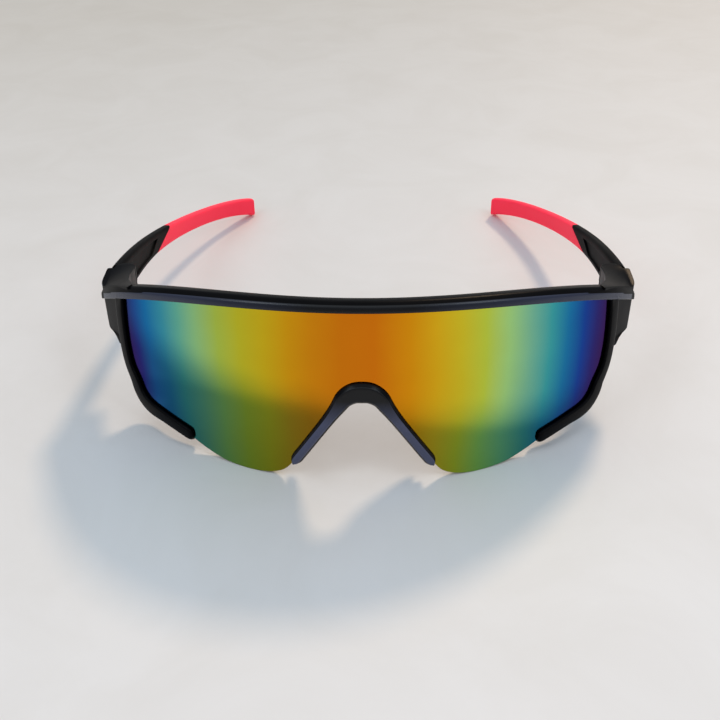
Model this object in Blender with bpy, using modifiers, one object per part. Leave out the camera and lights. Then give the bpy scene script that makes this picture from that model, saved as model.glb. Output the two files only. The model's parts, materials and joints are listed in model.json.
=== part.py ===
"""Wraparound sport sunglasses, built as separate pieces in metres, +Z up.

One curved shield lens sits in a half-rim front frame: a brow bar, two end pieces and two side rims that
hook under the lens. A nose bridge is clipped on the lens notch and carries two rubber pads. Two temples
fold on screws, and each ends in a rubber tip.

The pieces are modelled level, in the wearer's frame: X to the wearer's left and right, +Y back along the
temples, Z up. They hang on an empty named stand, which then lays the glasses down the way they rest on a
table, on the lens's two lobes and the two temple tips.
"""

from math import atan2, exp, radians, sqrt

import bmesh
import bpy
from mathutils import Matrix, Vector

MM = 0.001

# Overall: half the width over the end pieces, and the brow's height over the bottom of the lens
END_WIDTH = 74.6 * MM
BROW_HEIGHT = 47.8 * MM

# Shield lens: a toric sheet, curved strongly across the face and a little up and down
LENS_CURVE_ACROSS = 90.0 * MM
LENS_CURVE_UPRIGHT = 250.0 * MM
LENS_MID_HEIGHT = 24.0 * MM
LENS_THICKNESS = 1.8 * MM
LENS_HALF_WIDTH = END_WIDTH - 7.8 * MM
LENS_OUTLINE_WIDTH = 66.8
NOTCH_WIDTH = 18.1

# Brow bar along the top of the lens
BROW_DROP = 0.59
BROW_DROP_END = 333.0
BAR_THICKNESS = 2.7 * MM
BAR_END_GAIN = 0.7 * MM
BAR_FRONT = 1.1 * MM
BAR_DEPTH = 4.2 * MM
BAR_HALF_WIDTH = END_WIDTH - 1.4 * MM
BAR_BEVEL = 1.7 * MM

# Side rims and their grip on the lens
RIM_WIDTH = 4.7 * MM
RIM_CORNER_GAIN = 1.0 * MM
RIM_FRONT = 1.0 * MM
RIM_BACK = 1.2 * MM
BROW_GRIP = 1.3 * MM
RIM_INTO_BAR = 1.7 * MM
FIT_GAP = 0.3 * MM

# Nose bridge and pads
NOSE_TOP_WIDTH = 5.6 * MM
NOSE_LEG_WIDTH = 3.1 * MM
NOSE_FRONT = 1.5 * MM
NOSE_BACK = 2.6 * MM
PAD_THICKNESS = 2.2 * MM
PAD_DEPTH = 6.5 * MM
PAD_FLARE = 2.6 * MM
PEG_RADIUS = 0.8 * MM
PEG_LENGTH = 1.5 * MM

# End pieces and hinges
END_TOP = BROW_HEIGHT - 6.9 * MM
END_BOTTOM = END_TOP - 15.5 * MM
END_LEVEL = END_TOP - 5.9 * MM
END_FRONT = 0.7 * MM
HINGE_X = END_WIDTH - 5.1 * MM
HINGE_SETBACK = 7.97 * MM
EAR_RADIUS = 3.1 * MM
EAR_BOTTOM = END_TOP - 13.1 * MM
KNUCKLE_RADIUS = 2.7 * MM
KNUCKLE_LOW = END_TOP - 9.3 * MM
KNUCKLE_HIGH = END_TOP - 4.5 * MM
HINGE_GAP = 0.3 * MM
SCREW_RADIUS = 0.75 * MM
SCREW_CLEARANCE = 0.1 * MM
HEAD_RADIUS = 1.35 * MM
HEAD_HEIGHT = 1.0 * MM
INSERT_RADIUS = 1.5 * MM
INSERT_LENGTH = 2.4 * MM
INSERT_CLEARANCE = 0.1 * MM

# Temples: the outer top edge is a curve through the air, from the hinge to the tip's end. Its points are
# measured from the end piece's outer side, the hinge and the end piece's top, in millimetres
TEMPLE_GAP = 0.65 * MM
TEMPLE_CURVE = [(-1.0, 0.0, 0.0), (0.1, 35.0, -1.5), (1.4, 69.5, -11.0), (-11.6, 97.0, -9.8),
                (-23.2, 112.4, -14.5)]
TEMPLE_THICKNESS = 3.2 * MM
TEMPLE_ROUND = 0.7 * MM
ROOT_HEIGHT = 10.6 * MM
WAIST_HEIGHT = 3.3 * MM
TIP_HEIGHT = 7.0 * MM
TIP_START = 0.337
TIP_SLANT = 0.135
TONGUE_LENGTH = 0.11
TONGUE_INSET = 0.9 * MM
PANEL_DEPTH = 0.5 * MM


# ---------------------------------------------------------------- shapes that the pieces share


def lens_face(x, z, back=0.0):
    """A point of the lens's front face at width x and height z, moved back along the wearer's sight."""
    across = LENS_CURVE_ACROSS - sqrt(LENS_CURVE_ACROSS**2 - x * x)
    rise = (z - LENS_MID_HEIGHT) ** 2 - LENS_MID_HEIGHT**2
    return Vector((x, across + rise / (2 * LENS_CURVE_UPRIGHT) + back, z))


HINGE_Y = lens_face(END_WIDTH - 0.9 * MM, END_LEVEL).y + HINGE_SETBACK


def outward(point):
    """An outline point of the lens in metres, with what lies outside the nose notch spread to the width."""
    x, z = point
    spread = (LENS_HALF_WIDTH / MM - NOTCH_WIDTH) / (LENS_OUTLINE_WIDTH - NOTCH_WIDTH)
    if x > NOTCH_WIDTH:
        x = NOTCH_WIDTH + (x - NOTCH_WIDTH) * spread
    return Vector((x * MM, z * MM))


def lens_normal(x, z):
    """The lens's direction at a point, pointing to its back."""
    step = 0.1 * MM
    along_x = lens_face(x + step, z) - lens_face(x - step, z)
    along_z = lens_face(x, z + step) - lens_face(x, z - step)
    return along_z.cross(along_x).normalized()


def smooth(points, count):
    """Count points spread evenly along a smooth curve through the given ones."""
    given = [Vector(p) for p in points]
    given = [2 * given[0] - given[1]] + given + [2 * given[-1] - given[-2]]
    dense = []
    for a, b, c, d in zip(given, given[1:], given[2:], given[3:]):
        for k in range(24):
            t = k / 24
            dense.append(0.5 * (2 * b + (c - a) * t + (2 * a - 5 * b + 4 * c - d) * t**2
                                + (3 * b - a - 3 * c + d) * t**3))
    dense.append(given[-2])
    run = [0.0]
    for a, b in zip(dense, dense[1:]):
        run.append(run[-1] + (b - a).length)
    result = []
    at = 0
    for k in range(count):
        goal = run[-1] * k / (count - 1)
        while at < len(run) - 2 and run[at + 1] < goal:
            at += 1
        share = (goal - run[at]) / (run[at + 1] - run[at])
        result.append(dense[at].lerp(dense[at + 1], share))
    return result


def brow(x):
    """Height of the brow bar's lower front edge, where the lens comes into sight."""
    return BROW_HEIGHT - BROW_DROP * x * x - BROW_DROP_END * x**4


def bar_top(x):
    """Height of the brow bar's top."""
    return brow(x) + BAR_THICKNESS + BAR_END_GAIN * (x / BAR_HALF_WIDTH) ** 2


def between(a, b, share):
    return a + (b - a) * share


def mesh_object(name, bm, group):
    """Turns a bmesh into an object with its faces pointing out."""
    bmesh.ops.recalc_face_normals(bm, faces=bm.faces)
    mesh = bpy.data.meshes.new(name)
    bm.to_mesh(mesh)
    bm.free()
    made = bpy.data.objects.new(name, mesh)
    group.objects.link(made)
    return made


def loft(name, rings, group):
    """A closed solid through rings of points, each ring with as many points as the next."""
    bm = bmesh.new()
    rows = [[bm.verts.new(p) for p in ring] for ring in rings]
    size = len(rows[0])
    for low, high in zip(rows, rows[1:]):
        for k in range(size):
            m = (k + 1) % size
            bm.faces.new((low[k], low[m], high[m], high[k]))
    bm.faces.new(rows[0])
    bm.faces.new(list(reversed(rows[-1])))
    return mesh_object(name, bm, group)


def follow_lens(name, path, section, group):
    """Sweeps a section along a path on the lens face. The section gives, at a share of the path, points as
    (outward from the lens, back from its front face)."""
    rings = []
    count = len(path)
    for k, (x, z) in enumerate(path):
        before = path[max(k - 1, 0)]
        after = path[min(k + 1, count - 1)]
        along = lens_face(*after) - lens_face(*before)
        back = lens_normal(x, z)
        out = back.cross(along).normalized()
        rings.append([lens_face(x, z) + out * a + back * b for a, b in section(k / (count - 1))])
    return loft(name, rings, group)


def rod(name, start, end, radius, group, sides=32):
    """A cylinder between two points."""
    start, end = Vector(start), Vector(end)
    place = Matrix.Translation((start + end) / 2) @ (end - start).to_track_quat("Z", "Y").to_matrix().to_4x4()
    bm = bmesh.new()
    bmesh.ops.create_cone(bm, cap_ends=True, segments=sides, radius1=radius, radius2=radius,
                          depth=(end - start).length, matrix=place)
    return mesh_object(name, bm, group)


def cylinder(name, centre, radius, low, high, group, sides=32):
    """An upright cylinder between two heights."""
    return rod(name, (*centre, low), (*centre, high), radius, group, sides)


def block(name, low, high, group):
    """A box between two corners."""
    bm = bmesh.new()
    middle = [(a + b) / 2 for a, b in zip(low, high)]
    size = [b - a for a, b in zip(low, high)]
    bmesh.ops.create_cube(bm, size=1.0, matrix=Matrix.Translation(middle) @ Matrix.Diagonal((*size, 1.0)))
    return mesh_object(name, bm, group)


def combine(target, other, operation):
    """Adds a Boolean modifier and keeps the other shape as a hidden cutter."""
    change = target.modifiers.new(other.name, "BOOLEAN")
    change.operation = operation
    change.object = other
    change.solver = "EXACT"
    other.hide_render = True
    other.display_type = "WIRE"


def finish(name, colour, roughness, metallic, alpha=1.0):
    """A plain Principled material."""
    made = bpy.data.materials.new(name)
    made.use_nodes = True
    shader = made.node_tree.nodes["Principled BSDF"]
    shader.inputs["Base Color"].default_value = (*colour, 1.0)
    shader.inputs["Roughness"].default_value = roughness
    shader.inputs["Metallic"].default_value = metallic
    shader.inputs["Alpha"].default_value = alpha
    return made


def dress(made, material):
    """Gives a piece its material, and smooth shading up to its real edges."""
    made.data.materials.append(material)
    made.data.shade_smooth()
    made.data.set_sharp_from_angle(angle=radians(30))


# ---------------------------------------------------------------- lens


def lens_lower_edge(grow):
    """The lens's lower edge from the middle of the nose notch out to the side, grown outwards."""
    points = smooth([(0, 27.3), (2.4, 26.9), (4.6, 25.0), (6.5, 22.3), (9.4, 18.0), (12.4, 13.4), (15.3, 8.9),
                     (18.1, 4.7), (20.6, 1.7), (24.0, 0.1), (28.5, -0.5), (33.0, -0.3), (38.0, 0.6),
                     (43.0, 2.6), (48.0, 5.1), (54.0, 7.3), (59.8, 8.7), (63.2, 10.6), (65.3, 14.0),
                     (66.8, 19.0)], 48)
    points = [outward(p) for p in points]
    grown = []
    for k, p in enumerate(points):
        before = points[max(k - 1, 0)]
        after = points[min(k + 1, len(points) - 1)]
        along = (after - before).normalized()
        out = Vector((along.y, -along.x))
        if k == 0:
            out = Vector((0.0, -1.0))
        grown.append(p + out * grow)
    grown[0].x = 0.0
    return grown


def lens_sheet(name, grow, front, thickness, group):
    """The lens as a thickened open sheet, grown at its edges by a clearance."""
    lower = lens_lower_edge(grow)
    side = lower[-1].x
    rows = 6
    columns = [Vector((-p.x, p.y)) for p in reversed(lower[1:])] + lower
    bm = bmesh.new()
    grid = []
    for p in columns:
        top_x = max(-side, min(side, p.x))
        high = brow(top_x) + BROW_GRIP + grow
        column = []
        for r in range(rows + 1):
            z = between(p.y, high, r / rows)
            column.append(bm.verts.new(lens_face(p.x, z, -front)))
        grid.append(column)
    for a, b in zip(grid, grid[1:]):
        for r in range(rows):
            bm.faces.new((a[r], b[r], b[r + 1], a[r + 1]))
    mesh = bpy.data.meshes.new(name)
    bm.to_mesh(mesh)
    bm.free()
    made = bpy.data.objects.new(name, mesh)
    group.objects.link(made)
    skin = made.modifiers.new("thickness", "SOLIDIFY")
    skin.thickness = thickness
    skin.offset = -1.0
    return made


# ---------------------------------------------------------------- front frame


def bar_section(share):
    """The brow bar's section: a bevelled front band, a flat top and a rounded rear edge."""
    x = between(-BAR_HALF_WIDTH, BAR_HALF_WIDTH, share)
    top = bar_top(x) - brow(x)
    rear = BAR_DEPTH - BAR_FRONT
    edge = 0.35 * MM
    return [(0, -BAR_FRONT + edge), (edge, -BAR_FRONT), (BAR_BEVEL, -BAR_FRONT * 0.7), (top, 0.35 * MM),
            (top + 0.1 * MM, 1.2 * MM), (top, rear - edge), (top - edge, rear), (edge, rear),
            (0, rear - edge)]


def rim_section(share):
    """The side rim's section, rounded off at the hooked end."""
    closing = min(1.0, share / 0.035)
    fill = between(0.55, 1.0, sqrt(1 - (1 - closing) ** 2))
    width = RIM_WIDTH + RIM_CORNER_GAIN * exp(-((share - 0.4) / 0.13) ** 2)
    middle = width / 2
    front = RIM_FRONT
    rear = LENS_THICKNESS + RIM_BACK
    edge = 0.4 * MM
    outline = [(0, -front + edge), (edge, -front), (width - 1.3 * MM, -front),
               (width - 0.2 * MM, -front + 1.1 * MM), (width, -front + 1.6 * MM),
               (width, rear - edge), (width - edge, rear), (edge, rear), (0, rear - edge)]
    return [(middle + (a - middle) * fill, b) for a, b in outline]


def side_rim(side, group):
    """One side rim, from its hooked end under the lens up into the brow bar."""
    points = smooth([(45.9, 7.0), (50.0, 8.2), (55.0, 9.5), (59.4, 10.6), (61.6, 12.4), (62.9, 15.8),
                     (64.6, 19.6), (65.2, 24.0), (65.2, 30.0), (64.8, 36.0)], 30)
    points = [outward(p) for p in points]
    last = outward((64.2, 0.0)).x
    points.append(Vector((last, brow(last) + RIM_INTO_BAR)))
    path = [(side * p.x, p.y) for p in points]
    return follow_lens(f"side_rim_{side}", path,
                       lambda share: [(a * side, b) for a, b in rim_section(share)], group)


def end_piece(side, group):
    """One end piece, from the brow bar's corner back to the hinge, with a coved foot on the rim."""
    inner = END_WIDTH - 8.4 * MM
    rear = HINGE_Y + TEMPLE_GAP - HINGE_GAP
    start = lens_face(inner - 4.0 * MM, END_LEVEL).y + 5.0 * MM
    rings = []
    # from the top down: height, how far the outer side stands in, and how deep the foot is cut away
    for height, inset, foot in ((END_TOP, 0.0, 0.0), (END_TOP - 2.9 * MM, 0.0, 0.0),
                                (EAR_BOTTOM + 0.4 * MM, 0.1 * MM, 0.0),
                                (END_BOTTOM + 0.4 * MM, 0.2 * MM, 2.6 * MM),
                                (END_BOTTOM, 0.5 * MM, 3.2 * MM), (END_BOTTOM - 0.1 * MM, 1.9 * MM, 7.0 * MM),
                                (END_BOTTOM - 0.9 * MM, 3.2 * MM, 7.6 * MM),
                                (END_BOTTOM - 2.4 * MM, 4.2 * MM, 8.0 * MM)):
        outer = END_WIDTH - inset
        back = rear - foot
        middle = between(inner, outer, 0.5)
        corner = lens_face(outer - 0.9 * MM, END_LEVEL, END_FRONT).y
        outline = [(inner, lens_face(inner, END_LEVEL, END_FRONT).y),
                   (middle, lens_face(middle, END_LEVEL, END_FRONT).y),
                   (outer - 0.9 * MM, corner), (outer - 0.2 * MM, corner + 1.5 * MM),
                   (outer, corner + 3.0 * MM), (outer - 0.1 * MM, back), (HINGE_X, back),
                   (HINGE_X - EAR_RADIUS, back - 0.6 * MM), (inner - 0.2 * MM, HINGE_Y - 6.4 * MM),
                   (inner - 1.6 * MM, start + 3.9 * MM), (inner - 5.0 * MM, start - 3.6 * MM),
                   (inner - 4.0 * MM, start - 5.1 * MM)]
        ring = []
        for x, y in outline:
            y = min(y, back)
            here = height
            if height == END_TOP:
                rise = (y - start) / (HINGE_Y - start)
                here = between(bar_top(min(x, BAR_HALF_WIDTH)), END_TOP, max(0.0, min(1.0, rise)))
            ring.append((side * x, y, here))
        rings.append(ring)
    return loft(f"end_piece_{side}", rings, group)


def hinge_cuts(side, group):
    """What the hinge takes out of an end piece: the knuckle's slot, the screw's way and two pockets."""
    axis = (side * HINGE_X, HINGE_Y)
    low = KNUCKLE_LOW - HINGE_GAP
    high = KNUCKLE_HIGH + HINGE_GAP
    reach = EAR_RADIUS + 1.5 * MM
    slot = cylinder(f"slot_{side}", axis, KNUCKLE_RADIUS + HINGE_GAP, low, high, group)
    x_in = side * (HINGE_X - reach)
    x_out = side * (HINGE_X + reach)
    opening = block(f"slot_mouth_{side}", (min(x_in, x_out), HINGE_Y, low),
                    (max(x_in, x_out), HINGE_Y + reach, high), group)
    screw_way = cylinder(f"screw_way_{side}", axis, SCREW_RADIUS + SCREW_CLEARANCE, EAR_BOTTOM - 3 * MM,
                         high + INSERT_LENGTH, group)
    head_way = cylinder(f"head_way_{side}", axis, HEAD_RADIUS + HINGE_GAP / 2, EAR_BOTTOM - 3 * MM,
                        EAR_BOTTOM + HEAD_HEIGHT + 0.5 * MM, group)
    insert_way = cylinder(f"insert_way_{side}", axis, INSERT_RADIUS + INSERT_CLEARANCE, high - 0.2 * MM,
                          high + INSERT_LENGTH + HINGE_GAP, group)
    return [slot, opening, screw_way, head_way, insert_way]


def front_frame(parts, tools):
    """The brow bar with its end pieces, ears and side rims in one moulding, grooved for the lens."""
    steps = 49
    widths = [between(-BAR_HALF_WIDTH, BAR_HALF_WIDTH, k / (steps - 1)) for k in range(steps)]
    path = [(x, brow(x)) for x in widths]
    frame = follow_lens("front_frame", path, lambda share: [(-a, b) for a, b in bar_section(share)], parts)
    for side in (-1, 1):
        combine(frame, side_rim(side, tools), "UNION")
        combine(frame, end_piece(side, tools), "UNION")
        ear = cylinder(f"ear_{side}", (side * HINGE_X, HINGE_Y), EAR_RADIUS, EAR_BOTTOM, END_TOP, tools, 40)
        combine(frame, ear, "UNION")
    groove = lens_sheet("lens_groove", FIT_GAP, FIT_GAP, LENS_THICKNESS + 2 * FIT_GAP, tools)
    combine(frame, groove, "DIFFERENCE")
    for side in (-1, 1):
        for cut in hinge_cuts(side, tools):
            combine(frame, cut, "DIFFERENCE")
    return frame, groove


# ---------------------------------------------------------------- nose bridge and pads


def nose_path(reach, count):
    """The nose bridge's middle line on the lens face, from the left leg over the top to the right leg."""
    half = [(0, 27.0), (2.2, 26.7), (4.4, 25.2), (6.2, 22.5), (9.1, 18.1), (12.1, 13.6), (15.0, 9.2), (17.9, 4.8)]
    half = half[:1] + [p for p in half[1:] if p[0] <= reach]
    points = [(-x, z) for x, z in reversed(half[1:])] + half
    return [(p.x * MM, p.y * MM) for p in smooth(points, count)]


def nose_section(share):
    """The bridge's section: wide over the top, slim along the legs, rounded off at the two ends."""
    from_end = min(share, 1 - share)
    closing = min(1.0, from_end / 0.03)
    fill = between(0.4, 1.0, sqrt(1 - (1 - closing) ** 2))
    top = exp(-((share - 0.5) / 0.13) ** 2)
    half = between(NOSE_LEG_WIDTH, NOSE_TOP_WIDTH, top) / 2 * fill
    rear = LENS_THICKNESS + NOSE_BACK
    edge = min(0.5 * MM, half * 0.4)
    return [(-half, -NOSE_FRONT + 2 * edge), (-half + edge, -NOSE_FRONT), (half - edge, -NOSE_FRONT),
            (half, -NOSE_FRONT + 1.5 * edge), (half, rear - edge), (half - edge, rear), (-half + edge, rear),
            (-half, rear - edge)]


def pad_pegs(side):
    """Where a pad's two pegs enter the bridge: the face point and the direction back."""
    for x, z in ((8.4, 19.2), (14.0, 10.7)):
        x = side * x * MM
        z = z * MM
        yield lens_face(x, z), lens_normal(x, z)


def nose_bridge(groove, parts, tools):
    """The clip over the lens notch, grooved for the lens and drilled for the pads' pegs."""
    path = nose_path(20, 45)
    bridge = follow_lens("nose_bridge", path, nose_section, parts)
    combine(bridge, groove, "DIFFERENCE")
    rear = LENS_THICKNESS + NOSE_BACK
    for side in (-1, 1):
        for k, (face, back) in enumerate(pad_pegs(side)):
            hole = rod(f"peg_hole_{side}_{k}", face + back * (rear - PEG_LENGTH - 0.2 * MM),
                       face + back * (rear + 1.0 * MM), PEG_RADIUS + FIT_GAP / 2, tools, 20)
            combine(bridge, hole, "DIFFERENCE")
    return bridge


def nose_pad(name, side, parts, tools):
    """A rubber pad behind one leg of the bridge, flared outwards towards the face, with two pegs."""
    start = LENS_THICKNESS + NOSE_BACK + FIT_GAP
    half = PAD_THICKNESS / 2
    points = smooth([(5.6, 23.4), (9.1, 18.1), (12.1, 13.6), (15.0, 9.2), (16.6, 6.8)], 17)
    path = [(side * p.x * MM, p.y * MM) for p in points]

    def section(share):
        depth = PAD_DEPTH * (0.55 + 0.45 * sqrt(max(0.0, 1 - (2 * share - 1) ** 2)))
        flare = PAD_FLARE * depth / PAD_DEPTH
        lip = 0.5 * MM
        outline = [(-half, start), (half, start), (half + flare * 0.45, start + depth * 0.6),
                   (half + flare - 0.2 * MM, start + depth - lip), (flare, start + depth),
                   (flare - half, start + depth - lip), (-half + flare * 0.3, start + depth * 0.55)]
        return [(a * -side, b) for a, b in outline]

    pad = follow_lens(name, path, section, parts)
    for k, (face, back) in enumerate(pad_pegs(side)):
        peg = rod(f"{name}_peg_{k}", face + back * (start - FIT_GAP - PEG_LENGTH),
                  face + back * (start + 0.8 * MM), PEG_RADIUS, tools, 16)
        combine(pad, peg, "UNION")
    return pad


# ---------------------------------------------------------------- temples


def temple_edge(s):
    """The outer top edge of the right temple, from 0 at the hinge to 1 at the end, and its way back."""
    start = Vector((END_WIDTH, HINGE_Y + TEMPLE_GAP, END_TOP))
    step = [Vector(p) * MM + start for p in TEMPLE_CURVE]
    while len(step) > 2:
        step = [a.lerp(b, s) for a, b in zip(step, step[1:])]
    return step[0].lerp(step[1], s), step[1] - step[0]


def temple_height(s):
    return ROOT_HEIGHT * (1 - s) ** 2 + 2 * WAIST_HEIGHT * s * (1 - s) + TIP_HEIGHT * s * s


def temple_point(side, s, inward, down):
    """A point of a temple, inward from its outer face and down from its top edge."""
    edge, along = temple_edge(s)
    across = Vector((-along.y, along.x, 0.0)).normalized()
    point = edge + across * inward + Vector((0.0, 0.0, -down))
    return Vector((side * point.x, point.y, point.z))


def temple_ring(side, s, slant, inset=0.0, swell=0.0):
    """A rounded oblong ring around a temple at s. A slanted ring leans back at its top."""
    height = temple_height(s)
    low_in = inset - swell
    corner = max(0.15 * MM, TEMPLE_ROUND - inset * 0.5)
    wide = TEMPLE_THICKNESS - low_in
    tall = height - low_in
    outline = [(low_in + corner, low_in), (wide - corner, low_in), (wide - 0.3 * corner, low_in + 0.3 * corner),
               (wide, low_in + corner), (wide, tall - corner), (wide - 0.3 * corner, tall - 0.3 * corner),
               (wide - corner, tall), (low_in + corner, tall), (low_in + 0.3 * corner, tall - 0.3 * corner),
               (low_in, tall - corner), (low_in, low_in + corner), (low_in + 0.3 * corner, low_in + 0.3 * corner)]
    return [temple_point(side, s + slant * (0.5 - down / height), inward, down) for inward, down in outline]


def temple_run(name, side, start, end, steps, group, slants=(0.0, 0.0), inset=0.0, swell=0.0):
    """A stretch of temple between two places on its curve."""
    rings = []
    for k in range(steps + 1):
        share = k / steps
        rings.append(temple_ring(side, between(start, end, share), between(*slants, share), inset, swell))
    return loft(name, rings, group)


def temple_arm(name, side, parts, tools):
    """The stiff front of a temple: knuckle, blade with a sunk panel inside, and a tongue for the tip."""
    arm = temple_run(name, side, 0.0, TIP_START, 16, parts, (0.0, TIP_SLANT))
    tongue = temple_run(f"{name}_tongue", side, TIP_START - 0.04, TIP_START + TONGUE_LENGTH, 8, tools,
                        (TIP_SLANT, 0.0), TONGUE_INSET)
    combine(arm, tongue, "UNION")
    axis = (side * HINGE_X, HINGE_Y)
    for low, high in ((KNUCKLE_HIGH, END_TOP + 2 * MM), (END_BOTTOM, KNUCKLE_LOW)):
        room = cylinder(f"{name}_room_{low:.4f}", axis, EAR_RADIUS + HINGE_GAP, low, high, tools, 40)
        combine(arm, room, "DIFFERENCE")
    knuckle = cylinder(f"{name}_knuckle", axis, KNUCKLE_RADIUS, KNUCKLE_LOW, KNUCKLE_HIGH, tools, 40)
    combine(arm, knuckle, "UNION")
    outer_x = HINGE_X + KNUCKLE_RADIUS * 0.8
    neck = block(f"{name}_neck", (min(axis[0], side * outer_x), HINGE_Y, KNUCKLE_LOW),
                 (max(axis[0], side * outer_x), HINGE_Y + 3.5 * MM, KNUCKLE_HIGH), tools)
    combine(arm, neck, "UNION")
    bore = cylinder(f"{name}_bore", axis, SCREW_RADIUS + SCREW_CLEARANCE, END_BOTTOM, END_TOP, tools, 24)
    combine(arm, bore, "DIFFERENCE")
    rings = []
    for k in range(9):
        s = between(0.08, TIP_START - 0.075, k / 8)
        height = temple_height(s)
        low = TEMPLE_THICKNESS - PANEL_DEPTH
        high = TEMPLE_THICKNESS + 1.0 * MM
        rings.append([temple_point(side, s + TIP_SLANT * 0.8 * (0.5 - down / height) * k / 8, inward, down)
                      for inward, down in ((low, 1.7 * MM), (high, 1.2 * MM),
                                           (high, height - 1.2 * MM), (low, height - 1.7 * MM))])
    combine(arm, loft(f"{name}_panel", rings, tools), "DIFFERENCE")
    return arm


def temple_tip(name, side, parts, tools):
    """The rubber tip, a sleeve pushed on the arm's tongue."""
    gap = 0.0026
    tip = temple_run(name, side, TIP_START + gap, 1.0, 24, parts, (TIP_SLANT, 0.0))
    socket = temple_run(f"{name}_socket", side, TIP_START - 0.05, TIP_START + TONGUE_LENGTH + gap, 8, tools,
                        (TIP_SLANT, 0.0), TONGUE_INSET, FIT_GAP)
    combine(tip, socket, "DIFFERENCE")
    return tip


# ---------------------------------------------------------------- hinge hardware


def hinge_screw(name, side, parts, tools):
    """A small slotted screw, up through the lower ear and the knuckle into the insert."""
    axis = (side * HINGE_X, HINGE_Y)
    head_low = EAR_BOTTOM + 0.2 * MM
    head_high = head_low + HEAD_HEIGHT
    screw = cylinder(name, axis, HEAD_RADIUS, head_low, head_high, parts, 28)
    shank = cylinder(f"{name}_shank", axis, SCREW_RADIUS, head_low + 0.4 * MM,
                     KNUCKLE_HIGH + HINGE_GAP + INSERT_LENGTH - 0.2 * MM, tools, 24)
    combine(screw, shank, "UNION")
    slot = block(f"{name}_slot", (axis[0] - 2 * MM, HINGE_Y - 0.2 * MM, head_low - 1 * MM),
                 (axis[0] + 2 * MM, HINGE_Y + 0.2 * MM, head_low + 0.35 * MM), tools)
    combine(screw, slot, "DIFFERENCE")
    return screw


def hinge_insert(name, side, parts, tools):
    """The brass bush moulded into the upper ear, which takes the screw."""
    axis = (side * HINGE_X, HINGE_Y)
    low = KNUCKLE_HIGH + HINGE_GAP
    insert = cylinder(name, axis, INSERT_RADIUS, low, low + INSERT_LENGTH, parts, 28)
    bore = cylinder(f"{name}_bore", axis, SCREW_RADIUS + SCREW_CLEARANCE, low - 1 * MM,
                    low + INSERT_LENGTH + 1 * MM, tools, 24)
    combine(insert, bore, "DIFFERENCE")
    return insert


# ---------------------------------------------------------------- the whole pair


def clear_scene():
    for old in list(bpy.data.objects):
        bpy.data.objects.remove(old, do_unlink=True)


def empty(name, place, parent):
    made = bpy.data.objects.new(name, None)
    bpy.context.scene.collection.objects.link(made)
    made.location = place
    made.parent = parent
    return made


def points_of(pieces, stand):
    """Every point of the finished pieces, in the stand's own frame."""
    bpy.context.view_layer.update()
    graph = bpy.context.evaluated_depsgraph_get()
    back = stand.matrix_world.inverted()
    found = []
    for piece in pieces:
        shape = piece.evaluated_get(graph)
        found += [back @ shape.matrix_world @ v.co for v in shape.data.vertices]
    return found


def lay_down(stand, every, front, rear):
    """Tilts the stand until the lens and the temple tips touch the table together, and centres the pair."""
    lens = points_of(front, stand)
    tips = points_of(rear, stand)
    tilt = 0.0
    for _ in range(6):
        turn = Matrix.Rotation(-tilt, 3, "X")
        lens_low = min((turn @ p for p in lens), key=lambda p: p.z)
        tips_low = min((turn @ p for p in tips), key=lambda p: p.z)
        tilt += atan2(tips_low.z - lens_low.z, tips_low.y - lens_low.y)
    turn = Matrix.Rotation(-tilt, 3, "X")
    whole = [turn @ p for p in points_of(every, stand)]
    low = [min(p[k] for p in whole) for k in range(3)]
    high = [max(p[k] for p in whole) for k in range(3)]
    stand.rotation_euler = (-tilt, 0.0, 0.0)
    stand.location = (-(low[0] + high[0]) / 2, -(low[1] + high[1]) / 2, -low[2])


def main():
    clear_scene()
    parts = bpy.data.collections.new("sport_sunglasses")
    tools = bpy.data.collections.new("cutters")
    for group in (parts, tools):
        bpy.context.scene.collection.children.link(group)
    nylon = finish("black_nylon", (0.006, 0.006, 0.008), 0.38, 0.0)
    mirror = finish("mirror_lens", (0.45, 0.20, 0.02), 0.12, 0.6)
    pad_rubber = finish("black_rubber", (0.01, 0.01, 0.012), 0.6, 0.0)
    tip_rubber = finish("red_rubber", (0.88, 0.06, 0.10), 0.45, 0.0)
    steel = finish("screw_steel", (0.55, 0.55, 0.56), 0.3, 1.0)
    brass = finish("insert_brass", (0.65, 0.45, 0.18), 0.35, 1.0)

    lens = lens_sheet("shield_lens", 0.0, 0.0, LENS_THICKNESS, parts)
    dress(lens, mirror)
    frame, groove = front_frame(parts, tools)
    dress(frame, nylon)
    dress(nose_bridge(groove, parts, tools), nylon)
    tips = []
    swinging = {}
    for word, side in (("left", -1), ("right", 1)):
        dress(nose_pad(f"nose_pad_{word}", side, parts, tools), pad_rubber)
        arm = temple_arm(f"temple_arm_{word}", side, parts, tools)
        dress(arm, nylon)
        tip = temple_tip(f"temple_tip_{word}", side, parts, tools)
        dress(tip, tip_rubber)
        tips.append(tip)
        swinging[arm.name] = swinging[tip.name] = (word, side)
        dress(hinge_screw(f"hinge_screw_{word}", side, parts, tools), steel)
        dress(hinge_insert(f"hinge_insert_{word}", side, parts, tools), brass)

    stand = empty("stand", (0.0, 0.0, 0.0), None)
    hinges = {word: empty(f"hinge_{word}", (side * HINGE_X, HINGE_Y, (KNUCKLE_LOW + KNUCKLE_HIGH) / 2), stand)
              for word, side in (("left", -1), ("right", 1))}
    for piece in list(parts.objects) + list(tools.objects):
        piece.parent = stand
    for name, (word, side) in swinging.items():
        piece = bpy.data.objects[name]
        piece.parent = hinges[word]
        piece.location = -hinges[word].location
    lay_down(stand, list(parts.objects), [lens], tips)
    bpy.context.view_layer.update()


main()
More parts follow.
